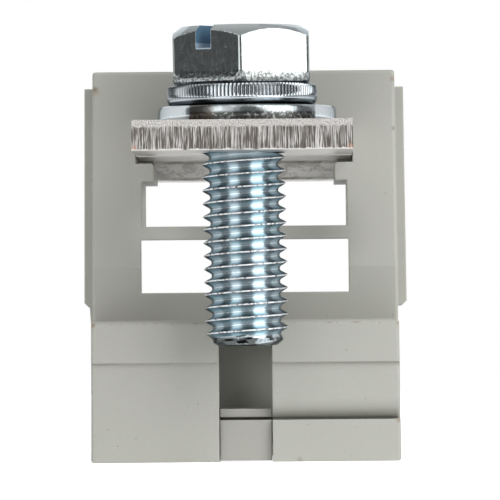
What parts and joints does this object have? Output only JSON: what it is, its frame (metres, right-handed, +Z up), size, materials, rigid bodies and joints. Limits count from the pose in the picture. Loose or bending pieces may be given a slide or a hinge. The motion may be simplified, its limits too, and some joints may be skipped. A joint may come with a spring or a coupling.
{
  "type": "bolted terminal block",
  "caption": "Rail-mounted terminal block: a moulded housing carries a flat conductor bar, and a slotted hexagon bolt with spring and flat washers clamps ring lugs on it.",
  "frame": {"origin": "middle of the rail recess, in the plane of the feet's undersides", "axes": "+Z up from the rail, +X along the rail, -Y towards the bolt and the front of the bar"},
  "size_m": [0.0316, 0.0665, 0.0418],
  "materials": {
    "housing_plastic": "moulded grey thermoplastic, fine matte skin",
    "tinned_copper": "tin-plated copper bar with a sheared end",
    "zinc_bolt": "bright zinc plating with a blue tint",
    "zinc_spring": "bright zinc plating on drawn square wire",
    "zinc_washer": "bright zinc plating, punched edge",
    "clip_plastic": "moulded grey thermoplastic"
  },
  "bodies": {
    "base": {"housing": "housing_plastic", "busbar": "tinned_copper"},
    "washers": {"spring_washer": "zinc_spring", "flat_washer": "zinc_washer"},
    "bolt": {"terminal_bolt": "zinc_bolt"},
    "clip": {"rail_clip": "clip_plastic"}
  },
  "joints": [
    {"name": "bolt_lift", "type": "slide", "parent": "base", "child": "washers", "axis": [0, 0, 1], "range_m": [0, 0.0214]},
    {"name": "bolt_turn", "type": "hinge", "parent": "washers", "child": "bolt", "pos_m": [0, -0.031, 0.0363], "axis": [0, 0, 1], "range_deg": [0, 6163.2]},
    {"name": "clip_slide", "type": "slide", "parent": "base", "child": "clip", "axis": [0, -1, 0], "range_m": [0, 0.002]}
  ],
  "couplings": [
    {"joint": "bolt_turn", "follows": "bolt_lift", "rad_per_m": 5026.5}
  ]
}
